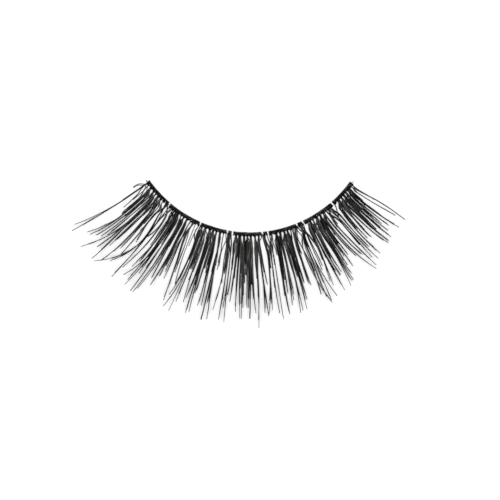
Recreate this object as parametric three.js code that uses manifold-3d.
// A false eyelash strip: hair tied in clusters on one clear thread, as it lies on a table.
// Millimetres, +Z up. The origin is the middle of the band, on the flat glue face under the knots.
// The band is an arc about a centre on +Y. The hair fans out from it towards -Y and curls up.

import * as THREE from "three";
import { mergeVertices } from "three/addons/utils/BufferGeometryUtils.js";
import Module from "manifold-3d";

const wasm = await Module();
wasm.setup();

// Band: the thread, and the row of knots that the hair makes around it
const BAND_LENGTH = 34;
const BAND_SWEEP = 109;
const THREAD_DIAMETER = 0.16;
const THREAD_CLEARANCE = 0.03;
const THREAD_OVERHANG = 0.25;
const KNOT_WALL = 0.18;
const ROOT_SHARE = 0.15;
const KNOT_PITCH = 0.5;
const KNOT_WAIST = 0.74;
const SECTION_GAP = 0.08;

// Hair: reaches are seen from above, from the thread outwards. All hair follows one curl, flat on
// the table as far as FLAT_REACH. Locks lie in layers that open out towards the tips.
const HAIR_LENGTH = 13.2;
const FLAT_REACH = 4.4;
const CURL_RISE = 4.6;
const BED_SHARE = 0.66;
const LAYERS = 2;
const LAYER_GAP = 0.02;
const LAYER_FAN = 1.6;
const LOCK_COVER = 1.4;
const TIP_WIDTH = 0.1;
const TIP_THINNING = 0.5;
const STRAY_WIDTH = 0.2;

// Facets
const THREAD_SIDES = 8;
const THREAD_STEP = 1;
const KNOT_SIDES = 8;
const LOCK_STEPS = 8;

// Worked out from the sizes above
const SWEEP = THREE.MathUtils.degToRad(BAND_SWEEP);
const BAND_RADIUS = BAND_LENGTH / SWEEP;
const BORE_DIAMETER = THREAD_DIAMETER + 2 * THREAD_CLEARANCE;
const KNOT_HEIGHT = BORE_DIAMETER + 2 * KNOT_WALL;
const THREAD_HEIGHT = KNOT_HEIGHT / 2;
const LAYER_PITCH = (KNOT_HEIGHT * BED_SHARE) / LAYERS;
const LOCK_THICKNESS = LAYER_PITCH - LAYER_GAP;
const ROOT_REACH = BORE_DIAMETER / 2 + KNOT_WALL * ROOT_SHARE;

// How the locks of a section grow. cover is a lock's width at the knots as a share of the room
// between two locks, and a lock with none is one stray strand. A high settle takes a strand across
// to its own line close to the band, which makes the lattice of crossings there.
const DENSE = { cover: LOCK_COVER, taper: 2.6, settle: 1.3 };
const CROSSED = { cover: 0, taper: 2.2, settle: 7 };

// The tied sections in order from the outer corner to the inner one. end is where a section stops,
// as a share of the band. tip and reach have one entry for each lock: its place across the section
// at the tip, from 0 to 1, and its share of HAIR_LENGTH. root is its place at the knots, and without
// one the locks are spread evenly there.
const SECTIONS = [
  {
    node: "hair_cluster_1", style: DENSE, end: 0.108,
    tip: [-0.1, 0.12, 0.27, 0.36, 0.48, 0.66, 0.79, 0.9],
    reach: [0.96, 0.84, 0.8, 0.97, 0.84, 0.98, 0.93, 0.88],
  },
  {
    node: "crossed_hair_1", style: CROSSED, end: 0.15,
    root: [0.14, 0.3, 0.84],
    tip: [0.12, 0.78, 0.46],
    reach: [0.72, 0.98, 0.58],
  },
  {
    node: "hair_cluster_2", style: DENSE, end: 0.237,
    tip: [0.11, 0.22, 0.33, 0.55, 0.66, 0.84, 0.92],
    reach: [0.88, 0.76, 0.95, 0.98, 0.97, 0.74, 0.82],
  },
  {
    node: "crossed_hair_2", style: CROSSED, end: 0.287,
    root: [0.12, 0.3, 0.86],
    tip: [0.2, 0.8, 0.5],
    reach: [0.7, 0.91, 0.66],
  },
  {
    node: "hair_cluster_3", style: DENSE, end: 0.388,
    tip: [0.05, 0.13, 0.24, 0.37, 0.51, 0.6, 0.77, 0.87, 0.95],
    reach: [0.95, 0.97, 0.86, 0.83, 0.94, 0.92, 0.83, 0.98, 0.94],
  },
  {
    node: "crossed_hair_3", style: CROSSED, end: 0.434,
    root: [0.18, 0.86, 0.68],
    tip: [0.72, 0.38, 0.93],
    reach: [0.93, 0.86, 0.95],
  },
  {
    node: "hair_cluster_4", style: DENSE, end: 0.549,
    tip: [0.11, 0.25, 0.36, 0.47, 0.57, 0.68, 0.78, 0.94],
    reach: [0.73, 0.82, 0.91, 0.78, 0.91, 0.85, 1, 0.87],
  },
  {
    node: "crossed_hair_4", style: CROSSED, end: 0.6,
    root: [0.84, 0.4, 0.16, 0.62],
    tip: [0.1, 0.26, 0.6, 0.8],
    reach: [0.88, 0.83, 0.86, 0.93],
  },
  {
    node: "hair_cluster_5", style: DENSE, end: 0.678,
    tip: [0.08, 0.2, 0.34, 0.46, 0.65, 0.78, 0.9],
    reach: [0.87, 0.82, 0.68, 0.91, 0.9, 0.79, 0.64],
  },
  {
    node: "crossed_hair_5", style: CROSSED, end: 0.733,
    root: [0.52, 0.16, 0.36, 0.88, 0.7],
    tip: [0.08, 0.32, 0.56, 0.72, 0.93],
    reach: [0.63, 0.78, 0.9, 0.86, 0.86],
  },
  {
    node: "hair_cluster_6", style: DENSE, end: 0.834,
    tip: [0.06, 0.22, 0.34, 0.44, 0.55, 0.66, 0.77, 0.92],
    reach: [0.72, 0.84, 0.68, 0.83, 0.79, 0.72, 0.66, 0.6],
  },
  {
    node: "crossed_hair_6", style: CROSSED, end: 0.889,
    root: [0.44, 0.12, 0.74, 0.3, 0.88],
    tip: [0.2, 0.38, 0.54, 0.74, 0.87],
    reach: [0.63, 0.82, 0.7, 0.77, 0.59],
  },
  {
    node: "hair_cluster_7", style: DENSE, end: 1,
    tip: [0.04, 0.14, 0.31, 0.39, 0.49, 0.6, 0.69, 0.8, 1.02],
    reach: [0.73, 0.57, 0.72, 0.7, 0.68, 0.6, 0.62, 0.7, 0.69],
  },
];

// Looks
const THREAD_FINISH = { color: 0xdfe3e6, roughness: 0.25, metalness: 0 };
const HAIR_FINISH = { color: 0x0b0a0a, roughness: 0.45, metalness: 0 };

// The three directions of the strip at an angle: out along the hair, along the band, and up
function directions(angle) {
  return {
    out: new THREE.Vector3(Math.sin(angle), -Math.cos(angle), 0),
    along: new THREE.Vector3(Math.cos(angle), Math.sin(angle), 0),
    up: new THREE.Vector3(0, 0, 1),
  };
}

// A point at an angle round the band, at a reach out from the thread and a height above the table
function fanPoint(angle, reach, height) {
  const { out } = directions(angle);
  const point = out.multiplyScalar(BAND_RADIUS + reach);
  return point.add(new THREE.Vector3(0, BAND_RADIUS, height));
}

// Where a share of the band lies, as an angle from its middle
function angleAt(share) {
  return (share - 0.5) * SWEEP;
}

// A regular outline with a flat side down, standing on the table or about the thread
function flatSidedOutline(height, sides, bottom) {
  const corner = height / 2 / Math.cos(Math.PI / sides);
  const points = [];
  for (let i = 0; i < sides; i += 1) {
    const turn = ((i + 0.5) * 2 * Math.PI) / sides;
    const rise = height / 2 - corner * Math.cos(turn);
    points.push(new THREE.Vector2(corner * Math.sin(turn), bottom + rise));
  }
  return new THREE.Shape(points);
}

// A straight bar of unit length in even steps, bent by a rule that moves each of its points
function bentBar(outline, steps, rule) {
  const bar = new THREE.ExtrudeGeometry(outline, { depth: 1, steps, bevelEnabled: false });
  const position = bar.getAttribute("position");
  for (let i = 0; i < position.count; i += 1) {
    const point = rule(position.getX(i), position.getY(i), position.getZ(i));
    position.setXYZ(i, point.x, point.y, point.z);
  }
  return solidFrom(bar);
}

// A three.js geometry as a closed solid that can be joined and cut
function solidFrom(geometry) {
  const bare = geometry.clone();
  bare.deleteAttribute("normal");
  bare.deleteAttribute("uv");
  const merged = mergeVertices(bare);
  const vertProperties = new Float32Array(merged.getAttribute("position").array);
  const triVerts = new Uint32Array(merged.getIndex().array);
  return new wasm.Manifold(new wasm.Mesh({ numProp: 3, vertProperties, triVerts }));
}

// A finished solid as a named mesh with its own material
function meshFrom(solid, name, finish) {
  const { numProp, vertProperties, triVerts } = solid.getMesh();
  const geometry = new THREE.BufferGeometry();
  geometry.setAttribute("position", new THREE.BufferAttribute(vertProperties, numProp));
  geometry.setIndex(new THREE.BufferAttribute(triVerts, 1));
  geometry.computeVertexNormals();
  const mesh = new THREE.Mesh(geometry, new THREE.MeshStandardMaterial(finish));
  mesh.name = name;
  return mesh;
}

// A round bar along the thread's line, for the thread itself and for the bore through the knots
function threadBar(diameter) {
  const outline = flatSidedOutline(diameter, THREAD_SIDES, THREAD_HEIGHT - diameter / 2);
  const length = BAND_LENGTH + 2 * THREAD_OVERHANG;
  const steps = Math.ceil(length / THREAD_STEP);
  const turn = length / BAND_RADIUS;
  return bentBar(outline, steps, (inward, height, t) => fanPoint((t - 0.5) * turn, -inward, height));
}

// The knots of one section in a row, flat underneath, thick at each knot and thin between two
function knotRow(section) {
  const outline = flatSidedOutline(KNOT_HEIGHT, KNOT_SIDES, 0);
  const knots = Math.max(1, Math.round(((section.to - section.from) * BAND_RADIUS) / KNOT_PITCH));
  const steps = 2 * knots;
  return bentBar(outline, steps, (inward, height, t) => {
    const atKnot = Math.round(t * steps) % 2 === 1;
    const side = atKnot ? 1 : KNOT_WAIST;
    const rise = atKnot ? 1 : (1 + KNOT_WAIST) / 2;
    const angle = THREE.MathUtils.lerp(section.from, section.to, t);
    return fanPoint(angle, -inward * side, height * rise);
  });
}

// How high the curl lifts the hair at a reach, and how steeply it rises there
function curlAt(reach) {
  const run = HAIR_LENGTH - FLAT_REACH;
  const past = Math.max(0, reach - FLAT_REACH) / run;
  return { height: CURL_RISE * past ** 2, slope: Math.atan((2 * CURL_RISE * past) / run) };
}

// The width of a section's locks where they leave the knots
function lockWidth(section) {
  const room = ((section.to - section.from) * BAND_RADIUS) / section.tip.length;
  return section.style.cover > 0 ? section.style.cover * room : STRAY_WIDTH;
}

// One lock: a ridged strand that widens with the fan, then narrows to its tip. It keeps half its
// own width inside its section, so neighbouring sections stay a gap apart.
function hairLock(section, index) {
  const { style, from, to, tip } = section;
  const outline = new THREE.Shape([
    new THREE.Vector2(-0.5, 0),
    new THREE.Vector2(0.5, 0),
    new THREE.Vector2(0, 1),
  ]);
  const root = section.root ? section.root[index] : (index + 0.5) / tip.length;
  const rootWidth = lockWidth(section);
  const layer = LAYER_GAP + (index % LAYERS) * LAYER_PITCH;
  return bentBar(outline, LOCK_STEPS, (across, thick, t) => {
    const reach = THREE.MathUtils.lerp(ROOT_REACH, section.reach[index] * HAIR_LENGTH, t);
    const narrow = 1 - t ** style.taper;
    const fan = 1 + reach / BAND_RADIUS;
    const width = THREE.MathUtils.lerp(TIP_WIDTH, rootWidth * fan, narrow);
    const thickness = LOCK_THICKNESS * THREE.MathUtils.lerp(TIP_THINNING, 1, narrow);
    const inset = width / 2 / (BAND_RADIUS + reach);
    const place = THREE.MathUtils.lerp(tip[index], root, (1 - t) ** style.settle);
    const angle = THREE.MathUtils.lerp(from + inset, to - inset, place);
    const { height, slope } = curlAt(reach);
    const offset = layer * (1 + LAYER_FAN * t) + thick * thickness;
    const { out, along, up } = directions(angle);
    return fanPoint(angle, reach, height)
      .addScaledVector(along, across * width)
      .addScaledVector(out, -offset * Math.sin(slope))
      .addScaledVector(up, offset * Math.cos(slope));
  });
}

// One tied section: its knots and locks joined, and bored for the thread
function tiedSection(section, bore) {
  let tied = knotRow(section);
  section.tip.forEach((_, index) => {
    tied = tied.add(hairLock(section, index));
  });
  return tied.subtract(bore);
}

const strip = new THREE.Group();
strip.add(meshFrom(threadBar(THREAD_DIAMETER), "base_thread", THREAD_FINISH));

const bore = threadBar(BORE_DIAMETER);
const halfGap = SECTION_GAP / 2 / BAND_RADIUS;
SECTIONS.forEach((row, i) => {
  const first = i === 0;
  const last = i === SECTIONS.length - 1;
  const start = first ? 0 : SECTIONS[i - 1].end;
  const section = {
    ...row,
    from: angleAt(start) + (first ? 0 : halfGap),
    to: angleAt(row.end) - (last ? 0 : halfGap),
  };
  strip.add(meshFrom(tiedSection(section, bore), row.node, HAIR_FINISH));
});

export default strip;
